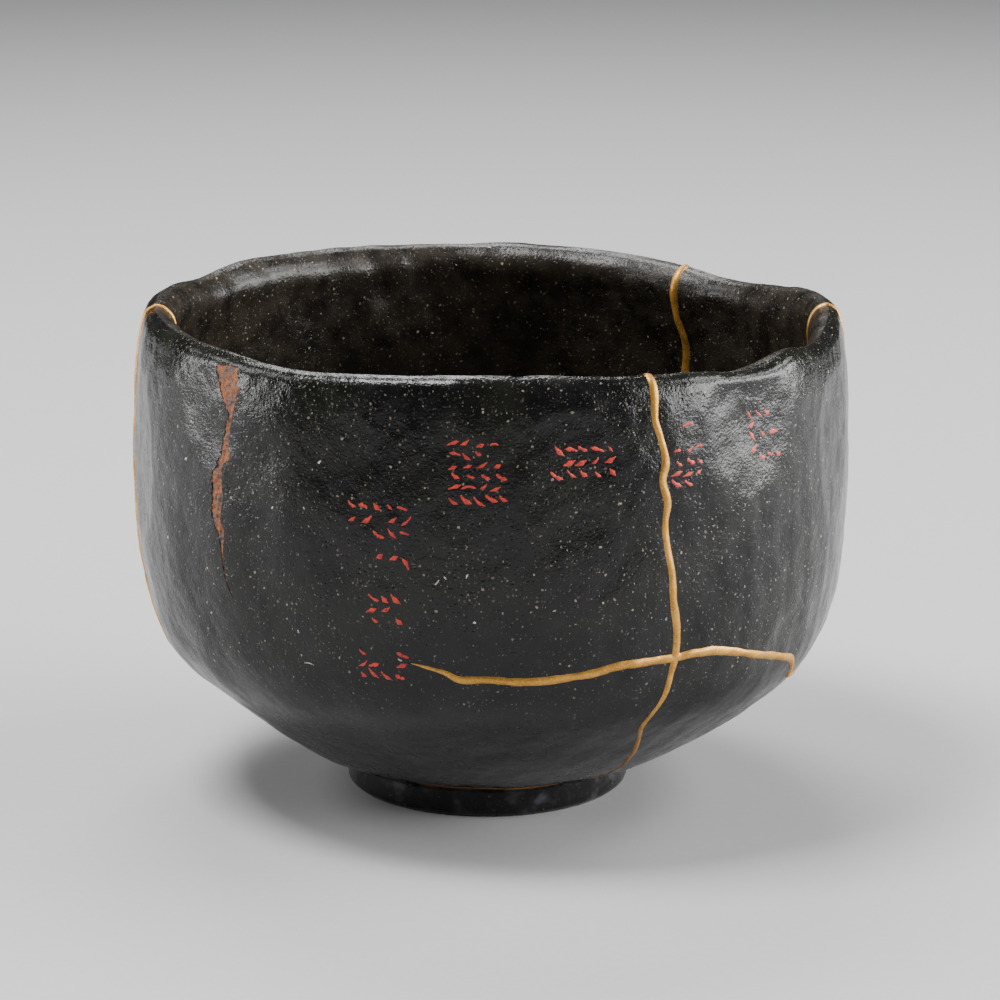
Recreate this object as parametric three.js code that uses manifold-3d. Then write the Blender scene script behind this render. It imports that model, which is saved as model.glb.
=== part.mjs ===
// A black tea bowl, built up by hand and trimmed, that broke into four sherds and was rejoined
// with gold lacquer. A lost flake of its wall is filled with brown lacquer.
// Millimetres, +Z up. The bowl stands on z = 0, its front looks towards -Y and +X is its right.

import * as THREE from 'three';
import { mergeVertices } from 'three/addons/utils/BufferGeometryUtils.js';
import Module from 'manifold-3d';

const wasm = await Module();
wasm.setup();

// ---- Driving dimensions ----

// Half section of the bowl. Each entry pairs a point of the outer skin with the point of the
// inner skin across the wall from it: [outer radius, outer height, inner radius, inner height].
// The base, from its middle out to the corner where the foot ring meets the body:
const BASE_SECTION = [
  [0.0, 3.2, 0.0, 10.2],
  [9.0, 4.2, 8.0, 10.7],
  [16.6, 4.0, 14.0, 11.4],
  [18.2, 0.6, 15.5, 11.7],
  [18.9, 0.0, 16.2, 11.8],
  [22.9, 0.0, 18.6, 12.3],
  [23.8, 0.8, 19.4, 12.5],
  [24.0, 4.6, 20.6, 12.9],
];
// The wall, a smooth curve from that corner up to the crest of the lip:
const WALL_SECTION = [
  [24.0, 4.6, 20.6, 12.9],
  [26.2, 6.2, 22.8, 13.6],
  [33.5, 9.0, 29.2, 16.2],
  [45.6, 17.6, 39.6, 22.6],
  [55.3, 27.6, 48.6, 31.4],
  [58.9, 41.5, 53.2, 43.2],
  [59.6, 58.0, 54.5, 58.5],
  [59.0, 73.0, 53.6, 73.0],
  [58.1, 79.2, 53.1, 79.0],
  [57.3, 81.5, 54.1, 81.7],
  [55.8, 82.5, 55.8, 82.5],
];
const CREST = WALL_SECTION.length - 1;
const MIDDLE = 1 - BASE_SECTION.length;
const LIP_HEIGHT = WALL_SECTION[CREST][1];
const WALL_MIDDLE = 6;

// The hand shows in the lip, which dips and rises around the mouth: [degrees, mm up].
const LIP_WAVE = [
  [-90, -0.6], [-57, -1.8], [-42, -3.0], [-33, -1.7], [-21, -2.3], [-3, -0.2], [14, -0.4],
  [25, -1.8], [39, -2.8], [61, -0.9], [103, 0.1], [140, 0.4], [154, -0.3], [166, 0.4],
  [205, -0.1], [237, -1.3],
];
const LIP_WAVE_FROM = 28;

// It also shows in the plan, which is not quite round: [degrees, mm out].
const PLAN_WAVE = [[-90, 0.0], [-45, 0.4], [0, 0.0], [45, -0.8], [90, 0.0], [135, 0.3], [225, 0.2]];
const PLAN_WAVE_FROM = 4;
const PLAN_WAVE_FULL = 30;

// The foot was trimmed a little off centre: [height, mm that the middle lies to the right].
const LEAN = [[0, -0.9], [5, -0.8], [16, 0.8], [28, 0.2], [45, -0.1], [83, 0.0]];

// Cracks, each a run of [degrees, nominal height] on the outer skin, right through the wall.
// The front left sherd is parted by one long crack: from the lip down the front, along the
// corner of the foot ring, and up the left side to the lip again.
const FRONT_LEFT_CRACK = [
  [-64.5, 79.0], [-64.0, 73.5], [-63.2, 69.0], [-63.2, 61.0], [-62.5, 54.0], [-61.3, 45.4],
  [-60.3, 35.5], [-61.2, 28.9], [-63.0, 23.0], [-59.5, 15.8], [-54.5, 9.0], [-57.5, 6.6],
  [-68.0, 6.0], [-86.0, 6.1], [-105.0, 6.0], [-124.0, 6.1], [-143.0, 6.0], [-161.0, 6.1],
  [-173.0, 7.0], [-176.0, 11.0], [-171.0, 19.0], [-168.0, 28.0], [-171.0, 40.0], [-173.5, 52.0],
  [-174.5, 66.0], [-176.5, 79.0],
];
// The hip crack starts as a hairline in the front left sherd, crosses to the right and runs on
// round the back until it meets the back crack.
const HIP_CRACK = [
  [-102.5, 36.4], [-94.5, 34.1], [-85.8, 33.8], [-76.0, 34.4], [-68.0, 35.6], [-60.3, 35.5],
  [-53.0, 35.2], [-44.0, 33.2], [-35.0, 30.2], [-26.5, 26.2], [-14.0, 23.5], [-2.0, 24.5],
  [9.0, 26.5], [24.0, 25.0], [38.0, 27.0], [52.0, 31.0],
];
const RIGHT_CRACK = [[9.0, 26.5], [7.0, 38.0], [5.0, 50.0], [6.0, 64.0], [-1.0, 79.0]];
const BACK_CRACK = [[52.0, 31.0], [53.5, 40.0], [51.5, 51.0], [50.5, 62.0], [49.3, 68.0], [51.5, 79.0]];
const STEPS_BETWEEN_POINTS = 2;

// Gold lacquer: a thin web that fills each crack, and a raised bead along both skins.
const WEB_THICK = 0.6;
const GAP = 0.3;
const BEAD_WIDTH = 1.7;
const BEAD_LIFT = 0.36;
const BEAD_TOP = 0.9;
const CUT_PROUD = 1.2;
const LIP_STATIONS = [8.6, 9.2, 9.6];

// Brown lacquer in the hollow of a lost flake: [degrees, nominal height, width].
const FLAKE = [
  [-135.4, 81.3, 4.6], [-134.9, 77.4, 4.6], [-134.0, 73.4, 1.4], [-134.8, 67.2, 2.0],
  [-136.2, 61.0, 2.4], [-135.5, 53.6, 1.6], [-134.9, 46.5, 0.9],
];
const FLAKE_DEPTH = 1.0;
const FILL_PROUD = 0.15;

// Facets
const FACETS_AROUND = 48;
const WALL_STATIONS = [0, 1, 2, 2.5, 3, 3.5, 4, 4.5, 5, 5.6, 6.3, 7, 7.6, 8, 8.6, 9.2, 9.6];
const INNER_STATIONS = [0, 1, 2, 2.6, 3.1, 3.5, 3.9, 4.3, 4.7, 5.1, 5.6, 6.2, 7.1, 8, 8.6, 9.2, 9.6];

// ---- Curves ----

function smoothStep(x) {
  const t = THREE.MathUtils.clamp(x, 0, 1);
  return t * t * (3 - 2 * t);
}

// Cubic from a to b with slopes ma and mb, at s from 0 to 1.
function cubic(a, b, ma, mb, s) {
  return (2 * a - 2 * b + ma + mb) * s ** 3 + (-3 * a + 3 * b - 2 * ma - mb) * s ** 2 + ma * s + a;
}

// Value at a height of a broken line of [height, value] points.
function brokenLine(points, height) {
  const last = points.length - 1;
  const above = THREE.MathUtils.clamp(points.findIndex(([h]) => h > height), 1, last);
  const [low, valueLow] = points[above - 1];
  const [high, valueHigh] = points[above];
  return THREE.MathUtils.mapLinear(height, low, high, valueLow, valueHigh);
}

// Value at an angle of a smooth wave through [degrees, value] points that closes on itself.
function wave(points, degrees) {
  const n = points.length;
  const at = (i) => {
    const turn = Math.floor(i / n);
    const [angle, value] = points[i - turn * n];
    return [angle + 360 * turn, value];
  };
  const angle = points[0][0] + THREE.MathUtils.euclideanModulo(degrees - points[0][0], 360);
  const i = points.findLastIndex(([a]) => a <= angle);
  const [[a0, y0], [a1, y1], [a2, y2], [a3, y3]] = [at(i - 1), at(i), at(i + 1), at(i + 2)];
  const span = a2 - a1;
  const slope1 = (span * (y2 - y0)) / (a2 - a0);
  const slope2 = (span * (y3 - y1)) / (a3 - a1);
  return cubic(y1, y2, slope1, slope2, (angle - a1) / span);
}

// ---- The skins of the bowl ----

// The section at a station along the wall: MIDDLE is the middle of the base, 0 the corner of
// the foot ring and CREST the crest of the lip.
function sectionAt(station) {
  if (station < 0) {
    const i = Math.floor(station) - MIDDLE;
    const s = station - MIDDLE - i;
    return BASE_SECTION[i].map((a, k) => THREE.MathUtils.lerp(a, BASE_SECTION[i + 1][k], s));
  }
  const i = Math.min(Math.floor(station), CREST - 1);
  const before = WALL_SECTION[Math.max(i - 1, 0)];
  const [from, to] = [WALL_SECTION[i], WALL_SECTION[i + 1]];
  const after = WALL_SECTION[Math.min(i + 2, CREST)];
  return from.map((a, k) => cubic(a, to[k], (to[k] - before[k]) / 2, (after[k] - a) / 2, station - i));
}

// Puts a point of the section at an angle, with the waves and the lean of the real bowl.
function shaped(radius, height, degrees) {
  const up = smoothStep((height - LIP_WAVE_FROM) / (LIP_HEIGHT - LIP_WAVE_FROM));
  const out = smoothStep((height - PLAN_WAVE_FROM) / (PLAN_WAVE_FULL - PLAN_WAVE_FROM));
  const r = radius + out * wave(PLAN_WAVE, degrees);
  const angle = THREE.MathUtils.degToRad(degrees);
  const x = r * Math.cos(angle) + brokenLine(LEAN, height);
  return new THREE.Vector3(x, r * Math.sin(angle), height + up * wave(LIP_WAVE, degrees));
}

// A point of the skin. The station runs from the middle of the underside up the outer skin to
// CREST, and on down the inner skin: the point across the wall from u is at acrossFrom(u).
function skin(degrees, u) {
  const inside = u > CREST;
  const [outerR, outerZ, innerR, innerZ] = sectionAt(inside ? acrossFrom(u) : u);
  return inside ? shaped(innerR, innerZ, degrees) : shaped(outerR, outerZ, degrees);
}

function acrossFrom(u) {
  return 2 * CREST - u;
}

// Direction out of the clay at a point of the skin.
function skinNormal(degrees, u) {
  const small = 0.05;
  const round = skin(degrees + 1, u).sub(skin(degrees - 1, u));
  const along = skin(degrees, u + small).sub(skin(degrees, u - small));
  return round.cross(along).normalize();
}

// Station of the outer wall at a nominal height.
function stationAt(height) {
  let low = 0;
  let high = CREST;
  for (let i = 0; i < 30; i += 1) {
    const middle = (low + high) / 2;
    const below = sectionAt(middle)[1] < height;
    low = below ? middle : low;
    high = below ? high : middle;
  }
  return low;
}

// ---- Solids ----

// A closed three.js geometry as a solid that can be joined and cut.
function solidOf(geometry) {
  geometry.deleteAttribute('normal');
  geometry.deleteAttribute('uv');
  const merged = mergeVertices(geometry, 1e-4);
  const index = merged.getIndex().array;
  const triangles = [];
  for (let i = 0; i < index.length; i += 3) {
    const [a, b, c] = index.slice(i, i + 3);
    if (a !== b && b !== c && c !== a) triangles.push(a, b, c);
  }
  const vertProperties = new Float32Array(merged.getAttribute('position').array);
  const triVerts = new Uint32Array(triangles);
  return new wasm.Manifold(new wasm.Mesh({ numProp: 3, vertProperties, triVerts }));
}

function geometryOf(solid) {
  const { vertProperties, triVerts } = solid.getMesh();
  const geometry = new THREE.BufferGeometry();
  geometry.setAttribute('position', new THREE.BufferAttribute(vertProperties, 3));
  geometry.setIndex(new THREE.BufferAttribute(triVerts, 1));
  geometry.computeVertexNormals();
  return geometry;
}

// A bar through sections of equal count, each an anticlockwise ring seen against the travel.
// An end whose section is folded flat closes by itself and takes no cap.
function loft(sections, capFirst = true, capLast = true) {
  const n = sections[0].length;
  const index = [];
  for (let k = 0; k + 1 < sections.length; k += 1) {
    for (let i = 0; i < n; i += 1) {
      const [a, b] = [k * n + i, k * n + ((i + 1) % n)];
      index.push(a, a + n, b + n, a, b + n, b);
    }
  }
  const last = (sections.length - 1) * n;
  if (capFirst) index.push(...THREE.ShapeUtils.triangulateShape(flat(sections[0]), []).flat());
  if (capLast) {
    const faces = THREE.ShapeUtils.triangulateShape(flat(sections[sections.length - 1]), []);
    for (const [a, b, c] of faces) index.push(last + a, last + c, last + b);
  }
  const positions = sections.flat().flatMap((p) => p.toArray());
  const geometry = new THREE.BufferGeometry();
  geometry.setAttribute('position', new THREE.Float32BufferAttribute(positions, 3));
  geometry.setIndex(index);
  return solidOf(geometry);
}

// A ring of points laid out in its own plane, with its first edge along x.
function flat(ring) {
  const across = ring[1].clone().sub(ring[0]).normalize();
  const facing = new THREE.Vector3();
  ring.forEach((p, i) => facing.add(p.clone().cross(ring[(i + 1) % ring.length])));
  const up = facing.normalize().cross(across);
  return ring.map((p) => new THREE.Vector2(p.dot(across), p.dot(up)));
}

// The whole bowl before it broke: a turned shape, then pushed out of true by hand.
function wholeBowl() {
  const base = BASE_SECTION.map((entry, i) => MIDDLE + i).slice(0, -1);
  const outer = [...base, ...WALL_STATIONS];
  const inner = [...base, ...INNER_STATIONS];
  const profile = outer.map((u) => new THREE.Vector2(...sectionAt(u).slice(0, 2)));
  profile.push(new THREE.Vector2(...sectionAt(CREST).slice(0, 2)));
  profile.push(...inner.reverse().map((u) => new THREE.Vector2(...sectionAt(u).slice(2, 4))));
  const geometry = new THREE.LatheGeometry(profile, FACETS_AROUND);
  geometry.rotateX(Math.PI / 2);
  const position = geometry.getAttribute('position');
  const point = new THREE.Vector3();
  for (let i = 0; i < position.count; i += 1) {
    point.fromBufferAttribute(position, i);
    const degrees = THREE.MathUtils.radToDeg(Math.atan2(point.y, point.x));
    position.setXYZ(i, ...shaped(Math.hypot(point.x, point.y), point.z, degrees));
  }
  return solidOf(geometry);
}

// ---- Cracks and what fills them ----

// The stations along a crack, [degrees, station], carried up to the crest where it meets it.
function pathOf(crack) {
  const curve = new THREE.SplineCurve(crack.map(([degrees, height]) => new THREE.Vector2(degrees, height)));
  const points = curve.getPoints((crack.length - 1) * STEPS_BETWEEN_POINTS);
  const path = points.map((p) => [p.x, stationAt(p.y)]);
  const [first, last] = [path[0], path[path.length - 1]];
  if (crossesLip(first)) path.unshift(...LIP_STATIONS.map((u) => [first[0], u]).reverse());
  if (crossesLip(last)) path.push(...LIP_STATIONS.map((u) => [last[0], u]));
  return path;
}

function crossesLip([, station]) {
  return station > 7.5;
}

// Unit vectors of travel through a row of points.
function travel(points) {
  return points.map((p, i) => {
    const before = points[Math.max(i - 1, 0)];
    const after = points[Math.min(i + 1, points.length - 1)];
    return after.clone().sub(before).normalize();
  });
}

// A slab that follows a crack right through the wall. It stands proud of both skins, is
// lengthened at ends within the wall, and rises by crown over the crest of the lip.
function slab(path, thick, proud, lengthen, crown) {
  const outer = path.map(([degrees, u]) => skin(degrees, u));
  const inner = path.map(([degrees, u]) => skin(degrees, acrossFrom(u)));
  const middle = outer.map((p, i) => p.clone().lerp(inner[i], 0.5));
  const forward = travel(middle);
  const sections = path.map((at, i) => {
    const across = outer[i].clone().sub(inner[i]).normalize();
    const side = forward[i].clone().cross(across).setLength(thick / 2);
    const out = outer[i].clone().addScaledVector(across, proud);
    const into = inner[i].clone().addScaledVector(across, -proud);
    const ring = [into.clone().sub(side), into.clone().add(side), out.clone().add(side), out.clone().sub(side)];
    const isEnd = i === 0 || i === path.length - 1;
    const shift = i === 0 ? -lengthen : lengthen;
    if (isEnd && !crossesLip(at)) ring.forEach((p) => p.addScaledVector(forward[i], shift));
    return ring;
  });
  const raised = (at, ring) => {
    const top = skin(at[0], CREST).z + crown;
    return ring.map((p) => new THREE.Vector3(p.x, p.y, top));
  };
  if (crossesLip(path[0])) sections.unshift(raised(path[0], sections[0]));
  if (crossesLip(path[path.length - 1])) sections.push(raised(path[path.length - 1], sections[sections.length - 1]));
  return loft(sections);
}

function crackCut(crack) {
  return slab(pathOf(crack), WEB_THICK + 2 * GAP, CUT_PROUD, WEB_THICK, CUT_PROUD);
}

// Half of the section of a gold seam: the edge of its web, the foot of its bead and the ridge.
function beadOn(point, normal, forward, side) {
  const low = point.clone().addScaledVector(normal, BEAD_LIFT);
  const web = side.clone().multiplyScalar(WEB_THICK / 2);
  const foot = forward.clone().cross(normal).setLength(BEAD_WIDTH / 2);
  if (foot.dot(web) < 0) foot.negate();
  const ridge = point.clone().addScaledVector(normal, BEAD_TOP);
  return [low.clone().sub(web), low.clone().sub(foot), ridge, low.clone().add(foot), low.clone().add(web)];
}

// A gold seam: a web through the wall with a low ridge along both skins. At the crest of the
// lip the two ridges run into one, so the section folds flat there.
function goldSeam(crack) {
  const path = pathOf(crack);
  const [first, last] = [path[0], path[path.length - 1]];
  if (crossesLip(first)) path.unshift([first[0], CREST]);
  if (crossesLip(last)) path.push([last[0], CREST]);
  const outer = path.map(([degrees, u]) => skin(degrees, u));
  const inner = path.map(([degrees, u]) => skin(degrees, acrossFrom(u)));
  const forward = travel(outer.map((p, i) => p.clone().lerp(inner[i], 0.5)));
  const sections = path.map(([degrees, u], i) => {
    const out = skinNormal(degrees, u);
    const into = u === CREST ? out.clone() : skinNormal(degrees, acrossFrom(u));
    const across = u === CREST ? skinNormal(degrees, WALL_MIDDLE) : outer[i].clone().sub(inner[i]);
    const side = forward[i].clone().cross(across).normalize();
    const ring = [...beadOn(inner[i], into, forward[i], side)];
    ring.push(...beadOn(outer[i], out, forward[i], side).reverse());
    const isEnd = i === 0 || i === path.length - 1;
    const shift = i === 0 ? -GAP : GAP;
    if (isEnd && !crossesLip(path[i])) ring.forEach((p) => p.addScaledVector(forward[i], shift));
    return ring;
  });
  return loft(sections, !crossesLip(first), !crossesLip(last));
}

// A strip over the flake, from a depth below the outer skin to a height above it.
function flakeStrip(wider, depth, height) {
  const route = FLAKE.map(([degrees, z]) => [degrees, stationAt(z)]);
  const points = route.map(([degrees, u]) => skin(degrees, u));
  const forward = travel(points);
  const sections = points.map((p, i) => {
    const normal = skinNormal(...route[i]);
    const side = forward[i].clone().cross(normal).setLength(FLAKE[i][2] / 2 + wider);
    const [low, high] = [p.clone().addScaledVector(normal, -depth), p.clone().addScaledVector(normal, height)];
    return [low.clone().sub(side), low.clone().add(side), high.clone().add(side), high.clone().sub(side)];
  });
  const endOf = (ring, i, shift) => ring.forEach((p) => p.addScaledVector(forward[i], shift));
  endOf(sections[0], 0, -wider);
  endOf(sections[sections.length - 1], points.length - 1, wider);
  return loft(sections);
}

// ---- The pieces ----

const CRACKS = [FRONT_LEFT_CRACK, HIP_CRACK, RIGHT_CRACK, BACK_CRACK];

// The sherds are told apart by where the middle of each one lies.
function sherdName(solid) {
  const { min, max } = solid.boundingBox();
  if (min[2] < 1) return 'back_left_sherd';
  const [x, y] = [(min[0] + max[0]) / 2, (min[1] + max[1]) / 2];
  if (y > 0) return 'back_right_sherd';
  return x < 0 ? 'front_left_sherd' : 'front_right_sherd';
}

function sherds() {
  let clay = wholeBowl();
  for (const crack of CRACKS) clay = clay.subtract(crackCut(crack));
  clay = clay.subtract(flakeStrip(GAP, FLAKE_DEPTH, CUT_PROUD));
  return clay.decompose();
}

function named(name, solid, material) {
  const mesh = new THREE.Mesh(geometryOf(solid), material);
  mesh.name = name;
  return mesh;
}

const blackGlaze = new THREE.MeshStandardMaterial({ color: 0x0f0e0d, roughness: 0.22, metalness: 0 });
const goldLacquer = new THREE.MeshStandardMaterial({ color: 0xbe9150, roughness: 0.45, metalness: 1 });
const brownLacquer = new THREE.MeshStandardMaterial({ color: 0x7a431f, roughness: 0.6, metalness: 0 });

const bowl = new THREE.Group();
for (const solid of sherds()) bowl.add(named(sherdName(solid), solid, blackGlaze));
bowl.add(named('gold_seams', CRACKS.map(goldSeam).reduce((a, b) => a.add(b)), goldLacquer));
bowl.add(named('brown_lacquer_fill', flakeStrip(0, FLAKE_DEPTH - GAP, FILL_PROUD), brownLacquer));

// The origin is under the middle of the bowl, on the surface that it stands on.
const centre = new THREE.Box3().setFromObject(bowl, true).getCenter(new THREE.Vector3());
bowl.position.set(-centre.x, -centre.y, 0);

export default bowl;
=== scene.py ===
import math

import bmesh
import bpy
import numpy as np
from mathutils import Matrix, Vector


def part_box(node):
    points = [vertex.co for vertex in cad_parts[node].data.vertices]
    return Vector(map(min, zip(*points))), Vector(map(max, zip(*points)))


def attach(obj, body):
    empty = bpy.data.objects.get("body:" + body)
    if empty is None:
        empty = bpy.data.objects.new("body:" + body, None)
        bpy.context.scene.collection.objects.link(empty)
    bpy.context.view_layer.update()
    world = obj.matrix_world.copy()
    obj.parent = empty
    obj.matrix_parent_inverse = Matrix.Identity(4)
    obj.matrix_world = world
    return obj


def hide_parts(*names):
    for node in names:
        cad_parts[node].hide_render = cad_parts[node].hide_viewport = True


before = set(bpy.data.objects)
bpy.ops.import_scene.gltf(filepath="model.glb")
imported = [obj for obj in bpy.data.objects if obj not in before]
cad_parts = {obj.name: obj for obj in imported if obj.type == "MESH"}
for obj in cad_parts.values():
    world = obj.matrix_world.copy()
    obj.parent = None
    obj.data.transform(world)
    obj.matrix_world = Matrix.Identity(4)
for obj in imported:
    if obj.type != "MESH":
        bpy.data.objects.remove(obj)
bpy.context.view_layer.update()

# ---------------------------------------------------------------------------------------------
# The clay bowl. It is one body of coarse dark clay, pinched and built up by hand, then trimmed
# with a knife. Its lip dips and rises, its wall has soft flats, and its foot is a low ring.
# ---------------------------------------------------------------------------------------------

# Half section in mm: outer radius, outer height, inner radius, inner height, across the wall.
BASE_SECTION = np.array([
    [0.0, 3.2, 0.0, 10.2], [9.0, 4.2, 8.0, 10.7], [16.6, 4.0, 14.0, 11.4], [18.2, 0.6, 15.5, 11.7],
    [18.9, 0.0, 16.2, 11.8], [22.9, 0.0, 18.6, 12.3], [23.8, 0.8, 19.4, 12.5], [24.0, 4.6, 20.6, 12.9],
])
WALL_SECTION = np.array([
    [24.0, 4.6, 20.6, 12.9], [26.2, 6.2, 22.8, 13.6], [33.5, 9.0, 29.2, 16.2], [45.6, 17.6, 39.6, 22.6],
    [55.3, 27.6, 48.6, 31.4], [58.9, 41.5, 53.2, 43.2], [59.6, 58.0, 54.5, 58.5], [59.0, 73.0, 53.6, 73.0],
    [58.1, 79.2, 53.1, 79.0], [57.3, 81.5, 54.1, 81.7], [55.8, 82.5, 55.8, 82.5],
])
MIDDLE = 1 - len(BASE_SECTION)
CREST = len(WALL_SECTION) - 1
LIP_HEIGHT = WALL_SECTION[-1, 1]

# The waves of the lip (degrees, mm up), the plan (degrees, mm out) and the lean (height, mm).
LIP_WAVE = [
    (-90, -0.6), (-57, -1.8), (-42, -3.0), (-33, -1.7), (-21, -2.3), (-3, -0.2), (14, -0.4), (25, -1.8),
    (39, -2.8), (61, -0.9), (103, 0.1), (140, 0.4), (154, -0.3), (166, 0.4), (205, -0.1), (237, -1.3),
]
PLAN_WAVE = [(-90, 0.0), (-45, 0.4), (0, 0.0), (45, -0.8), (90, 0.0), (135, 0.3), (225, 0.2)]
LEAN = [(0, -0.9), (5, -0.8), (16, 0.8), (28, 0.2), (45, -0.1), (83, 0.0)]


def smooth_step(x):
    x = np.clip(x, 0, 1)
    return x * x * (3 - 2 * x)


def cubic(a, b, slope_a, slope_b, s):
    rise = 2 * a - 2 * b + slope_a + slope_b
    bend = -3 * a + 3 * b - 2 * slope_a - slope_b
    return rise * s**3 + bend * s**2 + slope_a * s + a


def through(points, v):
    """The smooth line through rows of values, at v counted in rows."""
    points = np.asarray(points, float)
    last = len(points) - 1
    i = np.clip(np.floor(v).astype(int), 0, last - 1)
    before, here, there, after = (points[np.clip(i + k, 0, last)] for k in (-1, 0, 1, 2))
    return cubic(here, there, (there - before) / 2, (after - here) / 2, (v - i)[..., None])


def wave(points, degrees):
    """The smooth closed wave through (degrees, value) points."""
    angle, value = np.array(points, float).T
    angle = np.concatenate([angle - 360, angle, angle + 360])
    value = np.tile(value, 3)
    at = (degrees - points[0][0]) % 360 + points[0][0]
    i = np.searchsorted(angle, at, side="right") - 1
    span = angle[i + 1] - angle[i]
    slope_a = span * (value[i + 1] - value[i - 1]) / (angle[i + 1] - angle[i - 1])
    slope_b = span * (value[i + 2] - value[i]) / (angle[i + 2] - angle[i])
    return cubic(value[i], value[i + 1], slope_a, slope_b, (at - angle[i]) / span)


def section(u):
    on_base = np.clip(u, MIDDLE, 0) - MIDDLE
    i = np.clip(np.floor(on_base).astype(int), 0, len(BASE_SECTION) - 2)
    part = (on_base - i)[..., None]
    base = BASE_SECTION[i] * (1 - part) + BASE_SECTION[i + 1] * part
    return np.where((u < 0)[..., None], base, through(WALL_SECTION, np.maximum(u, 0)))


def smooth_skin(degrees, u):
    """Points of the skin, mm. u runs from the middle of the underside, up to CREST, and inside."""
    inside = u > CREST
    outer_r, outer_z, inner_r, inner_z = np.moveaxis(section(np.where(inside, 2 * CREST - u, u)), -1, 0)
    r, z = np.where(inside, inner_r, outer_r), np.where(inside, inner_z, outer_z)
    up = smooth_step((z - 28) / (LIP_HEIGHT - 28))
    out = smooth_step((z - 4) / 26)
    angle = np.radians(degrees)
    r = r + out * wave(PLAN_WAVE, degrees)
    x = r * np.cos(angle) + np.interp(z, *np.array(LEAN, float).T)
    return np.stack([x, r * np.sin(angle), z + up * wave(LIP_WAVE, degrees)], -1)


def unit(v):
    return v / np.maximum(np.linalg.norm(v, axis=-1, keepdims=True), 1e-9)


def skin_normal(degrees, u):
    around = smooth_skin(degrees + 1, u) - smooth_skin(degrees - 1, u)
    along = smooth_skin(degrees, u + 0.04) - smooth_skin(degrees, u - 0.04)
    return unit(np.cross(around, along))


def lumps(points, size, seed, waves=9):
    """Soft lumps about size mm across, from -1 to 1: a sum of waves in seeded directions."""
    rng = np.random.default_rng(seed)
    directions = unit(rng.normal(size=(waves, 3))) * (2 * math.pi / size) * rng.uniform(0.7, 1.3, (waves, 1))
    phases = rng.uniform(0, 2 * math.pi, waves)
    total = sum(np.sin(points @ d + p) for d, p in zip(directions, phases))
    return total / math.sqrt(waves)


# Knife flats on the outer wall: degrees, height, how far the plane leans back, mm taken off.
FLATS = [
    (-20, 62, 2, 0.45), (-46, 66, 7, 0.40), (-78, 60, 3, 0.30), (-108, 66, 4, 0.35), (-138, 70, 6, 0.40),
    (-164, 58, 1, 0.45), (165, 62, 4, 0.40), (128, 55, 2, 0.45), (98, 66, 5, 0.35), (66, 58, 3, 0.45),
    (32, 64, 4, 0.40), (6, 48, -2, 0.35), (-62, 40, -9, 0.30), (-122, 40, -8, 0.30), (-34, 36, -14, 0.30),
    (-92, 34, -15, 0.25), (-150, 36, -13, 0.35), (150, 36, -12, 0.35), (80, 38, -11, 0.35),
    (40, 36, -13, 0.35),
]


def flats(points):
    """How deep the knife cut at each point of the outer wall."""
    depth = np.zeros(points.shape[:-1])
    for degrees, height, lean, bite in FLATS:
        a, b = math.radians(degrees), math.radians(lean)
        facing = np.array([math.cos(a) * math.cos(b), math.sin(a) * math.cos(b), math.sin(b)])
        station = np.interp(height, WALL_SECTION[:, 1], np.arange(CREST + 1.0))
        touch = smooth_skin(np.array(float(degrees)), np.array(station))
        over = points @ facing - (touch @ facing - bite)
        depth = np.maximum(depth, over)
    return depth


def skin(degrees, u):
    """The uneven skin as the hand left it, and its directions out of the clay."""
    degrees, u = np.broadcast_arrays(np.asarray(degrees, float), np.asarray(u, float))
    points, normal = smooth_skin(degrees, u), skin_normal(degrees, u)
    inside = smooth_step((u - CREST + 0.6) / 2.0)
    # the ring's underside stays flat, and the trimmed foot is truer than the wall
    loose = np.interp(u, [MIDDLE, -5, -4.2, -1.4, -0.6, 2, 4], [0.5, 0.5, 0, 0, 0.35, 0.6, 1.0])
    outer = 0.16 * lumps(points, 17, 3) + 0.06 * lumps(points, 6.5, 5) + 0.022 * lumps(points, 2.6, 8, 14)
    hollow = 0.38 * lumps(points, 21, 11) + 0.12 * lumps(points, 8, 12) + 0.03 * lumps(points, 3, 14, 14)
    on_wall = smooth_step((u - 2.5) / 1.5) * smooth_step((9.3 - u) / 1.4)
    cut = flats(points) * on_wall
    # a swelling under the lip on the inside, strongest at the back left
    below = np.clip(2 * CREST - u, 0, CREST)
    round_the_lip = 0.35 + 0.45 * np.cos(np.radians(degrees - 125))
    swell = np.exp(-(((below - 7.9) / 0.75) ** 2)) * inside * round_the_lip
    relief = loose * (outer * (1 - inside) + hollow * inside) - cut + swell
    return points + normal * relief[..., None], normal


MM = 0.001
# the waves and the lean leave the bowl a hair off the middle of its box, which the frame centres
sherd_names = ("front_left_sherd", "front_right_sherd", "back_right_sherd", "back_left_sherd")
clay_boxes = np.array([[tuple(corner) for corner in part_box(name)] for name in sherd_names])
ring_degrees = np.arange(0, 360, 0.5)
rough_ring = smooth_skin(ring_degrees[None], np.arange(3, 9, 0.1)[:, None])[..., 0]
OFF_MIDDLE = (clay_boxes[:, 0, 0].min() + clay_boxes[:, 1, 0].max()) / 2 / MM
OFF_MIDDLE -= (rough_ring.min() + rough_ring.max()) / 2


def placed(points):
    """From the potter's mm to the frame's metres."""
    return (points + [OFF_MIDDLE, 0, 0]) * MM


def new_piece(name, points, faces):
    """A smooth-shaded mesh object from points in metres and faces."""
    mesh = bpy.data.meshes.new(name)
    mesh.from_pydata(np.asarray(points).reshape(-1, 3).tolist(), [], faces)
    mesh.validate()
    mesh.shade_smooth()
    piece = bpy.data.objects.new(name, mesh)
    bpy.context.scene.collection.objects.link(piece)
    return piece


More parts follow.
